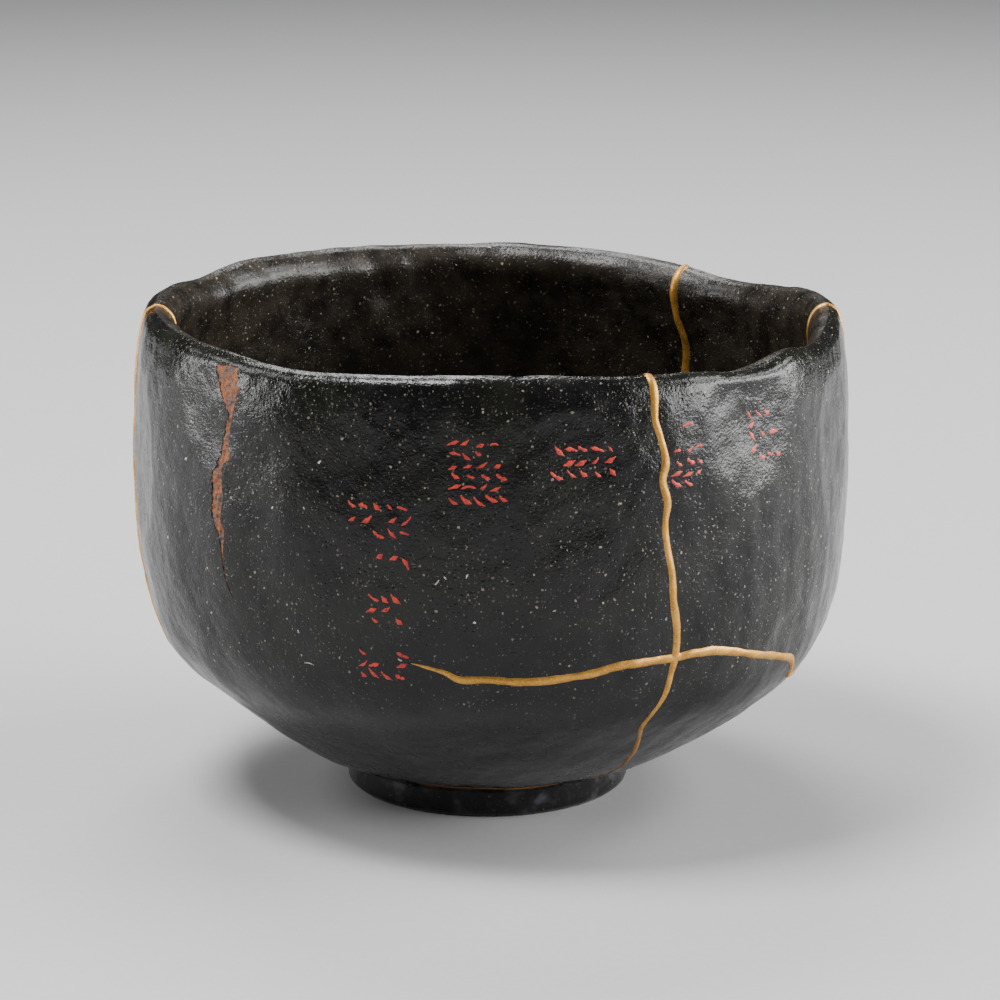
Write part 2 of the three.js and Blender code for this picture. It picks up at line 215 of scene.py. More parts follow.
def tube_faces(rings, count, closed=True):
    """Faces between rings of points that follow one another."""
    spans = count if closed else count - 1
    i, j = np.meshgrid(np.arange(rings - 1), np.arange(spans), indexing="ij")
    a, b = i * count + j, i * count + (j + 1) % count
    return np.stack([a, b, b + count, a + count], -1).reshape(-1, 4).tolist()


def whole_bowl():
    front = np.arange(-184, 4, 0.46)
    back = np.arange(4, 176, 1.0)
    degrees = np.concatenate([front, back])
    base_outer = np.concatenate([[MIDDLE + 0.25], np.arange(MIDDLE + 0.6, 0, 0.22)])
    body, shoulder = np.arange(0, 2, 0.13), np.arange(2, 7.6, 0.046)
    wall_outer = np.concatenate([body, shoulder, np.arange(7.6, CREST, 0.11)])
    lip, hollow = np.arange(CREST, 12.4, 0.11), np.arange(12.4, 18, 0.07)
    wall_inner = np.concatenate([lip, hollow, np.arange(18, 20, 0.12)])
    base_inner = np.array([20, 21, 22, 23, 24, 25, 25.5, 26, 26.4, 26.8]) + 0.0
    u = np.concatenate([base_outer, wall_outer, wall_inner, base_inner])
    points, _ = skin(degrees[None, :], u[:, None])
    count = len(degrees)
    under, _ = skin(0.0, float(MIDDLE))
    floor, _ = skin(0.0, float(2 * CREST - MIDDLE))
    vertices = np.concatenate([placed(points).reshape(-1, 3), [placed(under)], [placed(floor)]])
    faces = tube_faces(len(u), count)
    first, last, top = len(vertices) - 2, len(vertices) - 1, (len(u) - 1) * count
    faces += [(first, (j + 1) % count, j) for j in range(count)]
    faces += [(last, top + j, top + (j + 1) % count) for j in range(count)]
    return new_piece("whole_bowl", vertices, faces)


# ---------------------------------------------------------------------------------------------
# The break. Four cracks run right through the clay: one bounds the front left sherd, one runs
# round the hip from a hairline end, and two come down from the lip at the right and the back.
# ---------------------------------------------------------------------------------------------

# Each point is degrees, nominal height and the width of the gold over it, in mm.
FRONT_LEFT_CRACK = [
    (-64.6, 79.0, 1.6), (-64.7, 76.0, 1.3), (-64.0, 73.2, 1.3), (-63.2, 69.0, 1.5), (-63.6, 66.0, 1.5),
    (-62.8, 62.4, 1.5), (-63.2, 59.0, 1.4), (-62.8, 55.0, 1.4), (-61.9, 50.0, 1.5), (-61.4, 45.6, 1.5),
    (-60.4, 40.4, 1.6), (-60.3, 35.5, 1.4), (-60.8, 32.4, 1.2), (-61.3, 28.8, 1.1), (-62.6, 25.2, 1.0),
    (-63.2, 22.6, 1.0), (-61.6, 19.6, 0.9), (-59.5, 15.8, 0.95), (-56.4, 11.9, 0.85), (-54.4, 8.8, 0.8),
    (-57.0, 6.6, 0.9), (-66.0, 5.9, 1.1), (-75.0, 5.7, 1.3), (-86.0, 5.9, 0.7), (-104.0, 5.8, 0.7),
    (-124.0, 6.0, 0.6), (-143.0, 6.0, 0.7), (-161.0, 6.1, 0.8), (-173.0, 7.0, 0.8), (-176.0, 11.0, 0.8),
    (-171.0, 19.0, 0.9), (-168.0, 28.0, 1.0), (-170.4, 36.0, 1.1), (-171.4, 44.0, 1.1), (-173.4, 52.0, 1.1),
    (-174.0, 62.0, 1.1), (-175.0, 70.0, 1.1), (-176.5, 79.0, 1.1),
]
HIP_CRACK = [
    (-102.7, 36.5, 0.15), (-100.6, 36.1, 0.6), (-97.3, 35.2, 1.1), (-95.0, 34.0, 1.5), (-90.5, 33.9, 1.5),
    (-85.8, 33.6, 1.7), (-79.5, 33.9, 1.7), (-74.8, 34.5, 1.7), (-70.0, 35.5, 1.8), (-65.0, 35.6, 1.6),
    (-60.3, 35.5, 1.6), (-57.0, 35.9, 1.7), (-52.5, 35.6, 1.8), (-47.5, 34.4, 1.5), (-41.3, 32.4, 1.5),
    (-35.5, 30.6, 1.6), (-30.5, 29.0, 1.5), (-27.5, 26.4, 1.4), (-25.0, 24.4, 1.3), (-14.0, 23.6, 1.3),
    (-2.0, 24.6, 1.4), (9.0, 26.5, 1.3), (24.0, 25.2, 1.4), (38.0, 27.0, 1.4), (52.0, 31.0, 1.3),
]
RIGHT_CRACK = [
    (9.0, 26.5, 1.2), (7.6, 34.0, 1.2), (6.6, 42.0, 1.1), (5.0, 50.0, 1.2), (6.4, 58.0, 1.1),
    (5.6, 66.0, 1.1), (2.0, 73.0, 1.1), (-1.0, 79.0, 1.1),
]
BACK_CRACK = [
    (52.0, 31.0, 1.4), (53.6, 38.0, 1.5), (52.6, 45.0, 1.6), (51.2, 51.0, 1.7), (50.4, 58.0, 1.8),
    (50.4, 62.6, 1.9), (49.9, 67.0, 1.9), (50.0, 70.0, 1.9), (51.0, 74.0, 1.8), (51.5, 79.0, 1.7),
]
CRACKS = (FRONT_LEFT_CRACK, HIP_CRACK, RIGHT_CRACK, BACK_CRACK)
# a crack whose last point is higher than this goes on over the lip
NEAR_LIP = 78


def station_at(height):
    """The station of the outer wall at a nominal height."""
    stations = np.linspace(0, CREST, 2001)
    heights = section(stations)[:, 1]
    return np.interp(height, heights, stations)


def crack_path(crack, steps):
    """Degrees, station and width in fine steps. A crack that nears the lip runs up to its crest."""
    degrees, height, width = through(crack, np.linspace(0, len(crack) - 1, steps * (len(crack) - 1) + 1)).T
    u = station_at(height)
    wiggle = np.stack([degrees, height * 0.7, height * 0], -1)
    degrees = degrees + 0.09 * lumps(wiggle, 7, 21) * smooth_step((u - 2) / 2)
    lip = np.linspace(station_at(79.0), CREST, 14)[1:]
    if crack[-1][1] > NEAR_LIP:
        tail = np.full_like(lip, degrees[-1]), lip, np.full_like(lip, width[-1])
        degrees, u, width = (np.concatenate([a, b]) for a, b in zip((degrees, u, width), tail))
    if crack[0][1] > NEAR_LIP:
        head = np.full_like(lip, degrees[0]), lip[::-1], np.full_like(lip, width[0])
        degrees, u, width = (np.concatenate([b, a]) for a, b in zip((degrees, u, width), head))
    return degrees, u, width


def travel(points):
    return unit(np.gradient(points, axis=0))


def web_thickness(width):
    """The crack is half a millimetre open, and closes to nothing at a hairline end."""
    return np.minimum(0.5, 0.55 * width)


def crack_slab(crack, proud=1.5):
    """A thin closed slab that follows a crack through the wall and out past both skins."""
    degrees, u, width = crack_path(crack, 5)
    on_wall = u < CREST - 0.3
    degrees, u, thick = degrees[on_wall], u[on_wall], web_thickness(width[on_wall])[:, None]
    outer, _ = skin(degrees, u)
    inner, _ = skin(degrees, 2 * CREST - u)
    across = unit(outer - inner)
    forward = travel((outer + inner) / 2)
    side = unit(np.cross(forward, across)) * thick / 2
    out, into = outer + across * proud, inner - across * proud
    ring = np.stack([into - side, into + side, out + side, out - side], 1)
    reach = forward[[0, -1]] * [[-0.5], [0.5]]
    tops = []
    for end, shift in ((0, reach[0]), (-1, reach[1])):
        if u[end] > 8:
            top = ring[end].copy()
            top[:, 2] = outer[end, 2] + 4
            tops.append((end, top))
        else:
            ring[end] += shift
    for end, top in tops:
        ring = np.concatenate([top[None], ring]) if end == 0 else np.concatenate([ring, top[None]])
    faces = tube_faces(len(ring), 4)
    last = 4 * (len(ring) - 1)
    faces = [face[::-1] for face in faces] + [(0, 1, 2, 3), (last + 3, last + 2, last + 1, last)]
    return new_piece("crack_slab", placed(ring), faces)


def carve(piece, tool, how="DIFFERENCE"):
    """Cuts or joins one closed mesh with another, and clears the tool away."""
    step = piece.modifiers.new("carve", "BOOLEAN")
    step.operation, step.object, step.solver = how, tool, "MANIFOLD"
    shape = bpy.data.meshes.new_from_object(piece.evaluated_get(bpy.context.evaluated_depsgraph_get()))
    piece.modifiers.clear()
    old, piece.data = piece.data, shape
    bpy.data.meshes.remove(old)
    bpy.data.objects.remove(tool)


clay = whole_bowl()
for crack in CRACKS:
    carve(clay, crack_slab(crack))


# ---------------------------------------------------------------------------------------------
# The lost flake. A long sliver of glaze and clay came off the front left sherd, from the lip
# down, and its hollow was filled with brown lacquer that has since worn and cracked.
# ---------------------------------------------------------------------------------------------

# Down its middle: degrees, nominal height, mm to the left edge and mm to the right edge.
FLAKE = [
    (-135.4, 81.2, 2.2, 2.2), (-135.1, 79.0, 2.5, 2.4), (-134.8, 77.2, 2.2, 2.5), (-134.4, 75.5, 1.2, 1.9),
    (-133.9, 73.8, 0.45, 0.6), (-134.4, 71.2, 0.8, 0.5), (-134.9, 68.8, 0.7, 0.7), (-135.0, 67.2, 0.8, 1.4),
    (-135.7, 65.4, 0.8, 0.6), (-136.2, 63.3, 1.1, 1.0), (-136.3, 61.0, 1.2, 1.25), (-136.2, 58.5, 1.15, 1.15),
    (-136.1, 56.6, 1.1, 0.9), (-135.8, 55.0, 0.8, 1.0), (-135.3, 53.5, 0.7, 0.75), (-135.3, 52.2, 0.3, 0.4),
    (-135.2, 50.0, 0.16, 0.16), (-134.9, 47.0, 0.13, 0.13), (-133.6, 43.4, 0.1, 0.1),
]


def slide(degrees, u, offset):
    """The place on the skin that lies offset, in mm, from each point: degrees and station."""
    round_step = smooth_skin(degrees + 0.5, u) - smooth_skin(degrees - 0.5, u)
    along_step = (smooth_skin(degrees, u + 0.02) - smooth_skin(degrees, u - 0.02)) / 0.04
    rise = (offset * round_step).sum(-1) / (round_step**2).sum(-1)
    climb = (offset * along_step).sum(-1) / (along_step**2).sum(-1)
    return degrees + rise, u + climb


def flake_strip(wider, depth, top):
    """A closed strip over the flake, from a depth in the wall to a height over it."""
    steps = 14
    middle = through(FLAKE, np.linspace(0, len(FLAKE) - 1, steps * (len(FLAKE) - 1) + 1))
    degrees, u = middle[:, 0], station_at(middle[:, 1])
    points, normal = skin(degrees, u)
    side = unit(np.cross(normal, travel(points)))
    ragged = np.stack([middle[:, 0] * 0, middle[:, 1], middle[:, 1] * 0], -1)
    left = middle[:, 2] * (1 + 0.16 * lumps(ragged, 1.6, 31) + 0.1 * lumps(ragged, 0.7, 33)) + wider
    right = middle[:, 3] * (1 + 0.16 * lumps(ragged, 1.4, 32) + 0.1 * lumps(ragged, 0.8, 34)) + wider
    across = np.linspace(-1, 1, 13)
    reach = np.where(across < 0, left[:, None] * across, right[:, None] * across)
    spread_degrees, spread_u = slide(degrees[:, None], u[:, None], side[:, None] * reach[..., None])
    spread, out = skin(spread_degrees, spread_u)
    height = np.broadcast_to(np.asarray(top(spread) if callable(top) else top, float), reach.shape)
    upper = spread + out * height[..., None]
    lower = (spread - out * depth)[:, ::-1]
    ring = np.concatenate([upper, lower], 1)
    return closed_piece("flake_strip", placed(ring), capped_faces(len(ring), ring.shape[1]))


def capped_faces(rings, count, first=True, last=True):
    """The faces of a bar: the sides between its rings, and a cap at either end."""
    faces = tube_faces(rings, count)
    if first:
        faces.append(tuple(range(count))[::-1])
    if last:
        faces.append(tuple((rings - 1) * count + k for k in range(count)))
    return faces


def closed_piece(name, points, faces):
    """A piece whose coincident points are welded and whose faces all look out."""
    piece = new_piece(name, points, faces)
    shape = bmesh.new()
    shape.from_mesh(piece.data)
    bmesh.ops.remove_doubles(shape, verts=shape.verts, dist=2e-7)
    bmesh.ops.recalc_face_normals(shape, faces=shape.faces)
    shape.to_mesh(piece.data)
    shape.free()
    return piece


carve(clay, flake_strip(0.0, 0.7, 1.5))


# ---------------------------------------------------------------------------------------------
# The glaze. A thick, soft black glaze melted over the whole bowl. It is full of pinholes and
# pale grains of clay that came through, browner inside, and thinner and duller low down, where
# fewer grains are painted as shade. The foot's corners carry a painted bluish reflection.
# ---------------------------------------------------------------------------------------------

def put(tree, kind, inputs=(), **settings):
    """Places a node, sets its properties, and fills or links its sockets."""
    made = tree.nodes.new(kind)
    for name, value in settings.items():
        setattr(made, name, value)
    for socket, value in dict(inputs).items():
        if isinstance(value, bpy.types.NodeSocket):
            tree.links.new(value, made.inputs[socket])
        else:
            made.inputs[socket].default_value = value
    return made


def maths(tree, operation, a, b=0.0, c=0.0):
    return put(tree, "ShaderNodeMath", {0: a, 1: b, 2: c}, operation=operation).outputs[0]


def between(tree, value, low, high, to_low=0.0, to_high=1.0):
    """A smooth ramp of value from low to high."""
    sockets = {"Value": value, "From Min": low, "From Max": high, "To Min": to_low, "To Max": to_high}
    return put(tree, "ShaderNodeMapRange", sockets, interpolation_type="SMOOTHSTEP").outputs[0]


def blended(tree, amount, under, over, how="MIX"):
    """One colour over another by an amount."""
    node = put(tree, "ShaderNodeMix", data_type="RGBA", blend_type=how)
    for socket, value in zip((node.inputs[0], node.inputs[6], node.inputs[7]), (amount, under, over)):
        if isinstance(value, bpy.types.NodeSocket):
            tree.links.new(value, socket)
        else:
            socket.default_value = (*value, 1.0) if isinstance(value, tuple) else value
    return node.outputs[2]


def grainy(tree, place, size, detail=2.0, rough=0.5):
    """Noise about size mm across, over a place in mm."""
    sockets = {"Vector": place, "Scale": 1.0 / size, "Detail": detail, "Roughness": rough}
    return put(tree, "ShaderNodeTexNoise", sockets).outputs[0]


def in_mm(tree):
    """The place on the bowl, in mm."""
    place = put(tree, "ShaderNodeTexCoord").outputs["Object"]
    return put(tree, "ShaderNodeVectorMath", {0: place, "Scale": 1000.0}, operation="SCALE").outputs[0]


def new_group(name, takes, gives):
    """An empty node group with named number sockets."""
    group = bpy.data.node_groups.new(name, "ShaderNodeTree")
    for socket, value in takes.items():
        made = group.interface.new_socket(name=socket, in_out="INPUT", socket_type="NodeSocketFloat")
        made.default_value = value
    for socket in gives:
        group.interface.new_socket(name=socket, in_out="OUTPUT", socket_type="NodeSocketFloat")
    return group, put(group, "NodeGroupInput").outputs, put(group, "NodeGroupOutput").inputs


def pale_grains():
    """Scattered grains: Mask is 1 on a grain, Tone is that grain's own brightness."""
    group, takes, gives = new_group(
        "pale_grains", {"Spacing": 0.8, "Size": 0.3, "Share": 0.5}, ("Mask", "Tone"))
    place = in_mm(group)
    bent = put(group, "ShaderNodeTexNoise", {"Vector": place, "Scale": 2.2, "Detail": 1.0}).outputs["Color"]
    bent = put(group, "ShaderNodeVectorMath", {0: bent, "Scale": 0.5}, operation="SCALE").outputs[0]
    bent = put(group, "ShaderNodeVectorMath", {0: place, 1: bent}, operation="ADD").outputs[0]
    scale = maths(group, "DIVIDE", 1.0, takes["Spacing"])
    cells = put(group, "ShaderNodeTexVoronoi", {"Vector": bent, "Scale": scale, "Randomness": 1.0})
    own = put(group, "ShaderNodeSeparateColor", {0: cells.outputs["Color"]}).outputs
    own_size = maths(group, "ADD", maths(group, "MULTIPLY", own[0], own[0]), 0.25)
    size = maths(group, "MULTIPLY", takes["Size"], own_size)
    near = between(group, maths(group, "DIVIDE", cells.outputs["Distance"], size), 0.75, 1.05, 1.0, 0.0)
    kept = maths(group, "LESS_THAN", own[1], takes["Share"])
    group.links.new(maths(group, "MULTIPLY", near, kept), gives["Mask"])
    group.links.new(own[2], gives["Tone"])
    return group


def pitted_skin():
    """The height of a pitted, grainy surface, in mm: fine grain and round pinholes."""
    group, takes, gives = new_group(
        "pitted_skin", {"Grain": 0.012, "Pits": 0.05, "Ripple": 0.03}, ("Height",))
    place = in_mm(group)
    fine = grainy(group, place, 0.42, 2.0, 0.6)
    ripple = grainy(group, place, 2.4, 2.0, 0.5)
    cells = put(group, "ShaderNodeTexVoronoi", {"Vector": place, "Scale": 1.15})
    own = put(group, "ShaderNodeSeparateColor", {0: cells.outputs["Color"]}).outputs[0]
    rim = maths(group, "MULTIPLY_ADD", own, 0.32, 0.08)
    hole = between(group, cells.outputs["Distance"], 0.05, rim, 1.0, 0.0)
    height = maths(group, "MULTIPLY", fine, takes["Grain"])
    height = maths(group, "ADD", height, maths(group, "MULTIPLY", ripple, takes["Ripple"]))
    height = maths(group, "SUBTRACT", height, maths(group, "MULTIPLY", hole, takes["Pits"]))
    group.links.new(height, gives["Height"])
    return group


def use_group(tree, group, **values):
    node = put(tree, "ShaderNodeGroup", node_tree=group)
    for name, value in values.items():
        node.inputs[name].default_value = value
    return node.outputs


def raise_skin(tree, shader, height):
    """Fine relief from a height in mm."""
    bump = put(tree, "ShaderNodeBump", {"Height": height, "Strength": 1.0, "Distance": MM})
    tree.links.new(bump.outputs[0], shader.inputs["Normal"])


def coat(piece, material):
    """Gives the whole piece one material."""
    piece.data.materials.clear()
    piece.data.materials.append(material)


def new_material(name):
    material = bpy.data.materials.new(name)
    material.use_nodes = True
    tree = material.node_tree
    shader = tree.nodes["Principled BSDF"]
    return material, tree, shader


grains, pits = pale_grains(), pitted_skin()

# Each sort of grain: mm between grains, size, share of them that show, colour.
GRAIN_SORTS = [
    (0.42, 0.34, 0.62, (0.12, 0.106, 0.086)), (0.75, 0.26, 0.60, (0.26, 0.225, 0.175)),
    (2.6, 0.09, 0.50, (0.44, 0.38, 0.28)),
]


def black_glaze():
    material, tree, shader = new_material("fired_black_glaze")
    place = in_mm(tree)
    height = put(tree, "ShaderNodeSeparateXYZ", {0: place}).outputs
    facing = put(tree, "ShaderNodeNewGeometry").outputs["Normal"]
    # towards 1 on the inside: the skin there looks at the axis or up
    flat_place = put(tree, "ShaderNodeVectorMath", {0: place, 1: (1, 1, 0)}, operation="MULTIPLY").outputs[0]
    radial = put(tree, "ShaderNodeVectorMath", {0: flat_place}, operation="NORMALIZE").outputs[0]
    turned = put(tree, "ShaderNodeVectorMath", {0: radial, 1: facing}, operation="DOT_PRODUCT")
    outward = turned.outputs["Value"]
    upward = put(tree, "ShaderNodeSeparateXYZ", {0: facing}).outputs[2]
    inside = between(tree, maths(tree, "MULTIPLY_ADD", upward, -0.6, outward), 0.0, -0.55, 0.0, 1.0)
    # low is 1 on the outer lower body: the glaze is duller and calmer there, and fewer grains paint shade on
    # it
    low = between(tree, height[2], 36.0, 24.0)
    low = maths(tree, "MULTIPLY", low, maths(tree, "SUBTRACT", 1.0, inside))
    patchy = grainy(tree, place, 14.0, 3.0, 0.55)
    cloudy = grainy(tree, place, 4.5, 3.0, 0.6)
    black, ash = (0.0042, 0.0040, 0.0044), (0.0095, 0.0088, 0.0085)
    colour = blended(tree, between(tree, cloudy, 0.35, 0.75), black, ash)
    olive = maths(tree, "MULTIPLY", between(tree, patchy, 0.42, 0.62), maths(tree, "SUBTRACT", 1.0, low))
    colour = blended(tree, maths(tree, "MULTIPLY", olive, 0.55), colour, (0.0105, 0.0120, 0.0072))
    brown = blended(tree, between(tree, cloudy, 0.3, 0.7), (0.006, 0.0050, 0.0042), (0.021, 0.0165, 0.0110))
    colour = blended(tree, inside, colour, brown)
    # pale grains, many and fine on the wall; fewer on the lower body, which paints shade there
    grain_patches_and_low_shade = between(tree, patchy, 0.3, 0.6, 0.55, 1.0)
    grain_patches_and_low_shade = maths(tree, "MULTIPLY", grain_patches_and_low_shade, maths(tree, "MULTIPLY_ADD", low, -0.75, 1.0))
    for spacing, size, share, tint in GRAIN_SORTS:
        grain = use_group(tree, grains, Spacing=spacing, Size=size, Share=share)
        shown = maths(tree, "MULTIPLY", maths(tree, "MULTIPLY", grain["Mask"], grain["Tone"]), grain_patches_and_low_shade)
        colour = blended(tree, shown, colour, tint)
    # a painted reflection: the foot's corners are painted a patchy bluish grey, standing for a softbox
    # shining back from the glossy foot
    foot_reflection = maths(tree, "MULTIPLY", between(tree, height[2], 6.5, 4.0), between(tree, cloudy, 0.50, 0.72))
    colour = blended(tree, maths(tree, "MULTIPLY", foot_reflection, 0.7), colour, (0.060, 0.064, 0.076))
    tree.links.new(colour, shader.inputs["Base Color"])
    rough = between(tree, cloudy, 0.3, 0.7, 0.13, 0.24)
    rough = maths(tree, "ADD", rough, maths(tree, "MULTIPLY", inside, 0.14))
    rough = maths(tree, "ADD", rough, maths(tree, "MULTIPLY", low, 0.10))
    tree.links.new(rough, shader.inputs["Roughness"])
    skin_height = use_group(tree, pits, Grain=0.075, Pits=0.06, Ripple=0.15)["Height"]
    calm = maths(tree, "MULTIPLY_ADD", low, -0.6, 1.0)
    raise_skin(tree, shader, maths(tree, "MULTIPLY", skin_height, calm))
    shader.inputs["IOR"].default_value = 1.5
    shader.inputs["Specular IOR Level"].default_value = 0.29
    return material


# The broken bowl's sherds, each known by where it lies. The smallest has thousands of faces.
SMALLEST_SHERD = 100
glaze = black_glaze()
bpy.ops.object.select_all(action="DESELECT")
bpy.context.view_layer.objects.active = clay
clay.select_set(True)
bpy.ops.mesh.separate(type="LOOSE")
for sherd in list(bpy.context.selected_objects):
    if len(sherd.data.polygons) < SMALLEST_SHERD:
        # a crumb of no size, left where two cracks meet
        bpy.data.objects.remove(sherd)
        continue
    corners = np.array([v.co for v in sherd.data.vertices])
    low, high = corners.min(0), corners.max(0)
    middle = (low + high) / 2
    if low[2] < 1 * MM:
        name = "back_left_sherd"
    elif middle[1] > 0:
        name = "back_right_sherd"
    else:
        name = "front_left_sherd" if middle[0] < 0 else "front_right_sherd"
    sherd.name = "glazed_" + name
    coat(sherd, glaze)
    sherd.data.shade_smooth()
    sherd.data.set_sharp_from_angle(angle=math.radians(50))
    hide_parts(name)
    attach(sherd, "root")


# ---------------------------------------------------------------------------------------------
# The gold seams. Lacquer was pressed into every crack and drawn over it with a fine brush, on
# both skins, then dusted with gold powder. It stands up as a low soft bead of uneven width.
# ---------------------------------------------------------------------------------------------

BEAD_HEIGHT = 0.28
BEAD_POINTS = 11


def bead_ring(degrees, u, side, forward_width, flip):
    """Points over the bead, from one edge to the other, for every step along a seam."""
    across = np.sin(np.linspace(-math.pi / 2, math.pi / 2, BEAD_POINTS))
    offset = side[:, None] * (forward_width[:, None] / 2 * across)[..., None]
    spread_degrees, spread_u = slide(degrees[:, None], u[:, None], offset)
    points, normal = skin(spread_degrees, spread_u)
    crown = (1 - np.abs(across) ** 2.4) * np.minimum(1, forward_width[:, None] / 1.2)
    uneven = 1 + 0.10 * lumps(points, 3.4, 41) + 0.06 * lumps(points, 1.2, 42)
    rise = -0.05 + (BEAD_HEIGHT * uneven + 0.05) * crown
    points = points + normal * rise[..., None]
    return points[:, ::-1] if flip else points


def gold_seam(crack):
    degrees, u, width = crack_path(crack, 12)
    outer, out = skin(degrees, u)
    inner, into = skin(degrees, 2 * CREST - u)
    forward = travel((outer + inner) / 2)
    wall = np.where((u > CREST - 0.2)[:, None], skin_normal(degrees, np.full_like(u, 6.0)), outer - inner)
    web_side = unit(np.cross(forward, wall))
    brushed = 0.93 * width * (1 + 0.06 * lumps(outer, 5.0, 43) + 0.04 * lumps(outer, 1.8, 44))
    out_side, in_side = unit(np.cross(forward, out)), unit(np.cross(forward, into))
    out_side *= np.sign((out_side * web_side).sum(-1, keepdims=True))
    in_side *= np.sign((in_side * web_side).sum(-1, keepdims=True))
    upper = bead_ring(degrees, u, out_side, brushed, False)
    lower = bead_ring(degrees, 2 * CREST - u, in_side, brushed, True)
    web = web_side * web_thickness(width)[:, None] / 2
    deep = 0.3 * smooth_step((CREST - u) / 0.3)[:, None]
    out_web = [outer - out * deep + web, outer - out * deep - web]
    in_web = [inner - into * deep + web, inner - into * deep - web]
    right_web = np.stack([out_web[0], in_web[0]], 1)
    left_web = np.stack([in_web[1], out_web[1]], 1)
    ring = np.concatenate([upper, right_web, lower, left_web], 1)
    # a seam that crosses the lip folds flat at the crest and needs no cap
    faces = capped_faces(len(ring), ring.shape[1], crack[0][1] < NEAR_LIP, crack[-1][1] < NEAR_LIP)
    return closed_piece("gold_seam", placed(ring), faces)


def gold_powder():
    """Gold powder over lacquer: bright and grainy, darker and redder low on the bowl."""
    material, tree, shader = new_material("gold_powder")
    place = in_mm(tree)
    height = put(tree, "ShaderNodeSeparateXYZ", {0: place}).outputs[2]
    low = between(tree, height, 30.0, 8.0)
    patchy, fine = grainy(tree, place, 3.0, 3.0, 0.6), grainy(tree, place, 0.25, 2.0, 0.6)
    colour = blended(tree, between(tree, patchy, 0.35, 0.7), (0.36, 0.165, 0.024), (0.52, 0.265, 0.048))
    colour = blended(tree, between(tree, fine, 0.45, 0.75), colour, (0.66, 0.38, 0.09))
    colour = blended(tree, maths(tree, "MULTIPLY", low, 0.8), colour, (0.24, 0.095, 0.03))
    tree.links.new(colour, shader.inputs["Base Color"])
    tree.links.new(between(tree, fine, 0.3, 0.8, 0.52, 0.36), shader.inputs["Roughness"])
    dust = use_group(tree, pits, Grain=0.020, Pits=0.008, Ripple=0.02)["Height"]
    raise_skin(tree, shader, dust)
    shader.inputs["Metallic"].default_value = 0.65
    return material


seams = gold_seam(FRONT_LEFT_CRACK)
for crack in (HIP_CRACK, RIGHT_CRACK, BACK_CRACK):
    carve(seams, gold_seam(crack), "UNION")
seams.name = "gold_lacquer_seams"
coat(seams, gold_powder())
seams.data.shade_smooth()
seams.data.set_sharp_from_angle(angle=math.radians(60))
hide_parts("gold_seams")
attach(seams, "root")


# ---------------------------------------------------------------------------------------------
# The brown fill. Iron-brown lacquer laid in the hollow of the flake, a little below the glaze,
# with a crusty face flecked darker and yellowish.
# ---------------------------------------------------------------------------------------------

def crusty(points):
    return -0.10 + 0.06 * lumps(points, 1.3, 51, 12) + 0.03 * lumps(points, 0.6, 52, 12)


def brown_crust():
    material, tree, shader = new_material("iron_brown_crust")
    place = in_mm(tree)
    patchy, fine = grainy(tree, place, 1.3, 4.0, 0.65), grainy(tree, place, 0.35, 3.0, 0.7)
    colour = blended(tree, between(tree, patchy, 0.40, 0.60), (0.045, 0.015, 0.007), (0.27, 0.075, 0.014))
    colour = blended(tree, between(tree, fine, 0.55, 0.75), colour, (0.30, 0.15, 0.045))
    colour = blended(tree, between(tree, fine, 0.46, 0.36), colour, (0.012, 0.007, 0.006))
    tree.links.new(colour, shader.inputs["Base Color"])
    tree.links.new(between(tree, patchy, 0.3, 0.7, 0.45, 0.75), shader.inputs["Roughness"])
    crust = use_group(tree, pits, Grain=0.07, Pits=0.05, Ripple=0.06)["Height"]
    raise_skin(tree, shader, crust)
    return material


fill = flake_strip(0.03, 0.68, crusty)
fill.name = "brown_lacquer_crust"
coat(fill, brown_crust())
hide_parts("brown_lacquer_fill")
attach(fill, "root")


# ---------------------------------------------------------------------------------------------
# The red marks. Thin vermilion lacquer dabbed on the glaze with a small brush, in a row along
# the front and a column at its left. They are worn, broken strokes and spell nothing.
# ---------------------------------------------------------------------------------------------

# Each group: degrees and height of its middle, half width and half height in mm, rows, how worn.
MARKS = [
    (-42.9, 72.0, 3.3, 4.6, 5, 0.45), (-59.2, 69.8, 2.2, 5.6, 6, 0.25), (-75.5, 69.6, 4.8, 2.9, 3, 0.25),
    (-91.9, 68.2, 4.0, 5.2, 6, 0.05), (-106.6, 60.2, 4.6, 3.2, 3, 0.2), (-104.6, 53.6, 2.2, 1.4, 2, 0.45),
    (-105.7, 45.4, 2.6, 2.7, 3, 0.1), (-106.6, 35.9, 3.8, 3.0, 3, 0.4),
]
MARK_POINTS = 7
WALL_RADIUS = 58
STROKE_THICK = 0.08


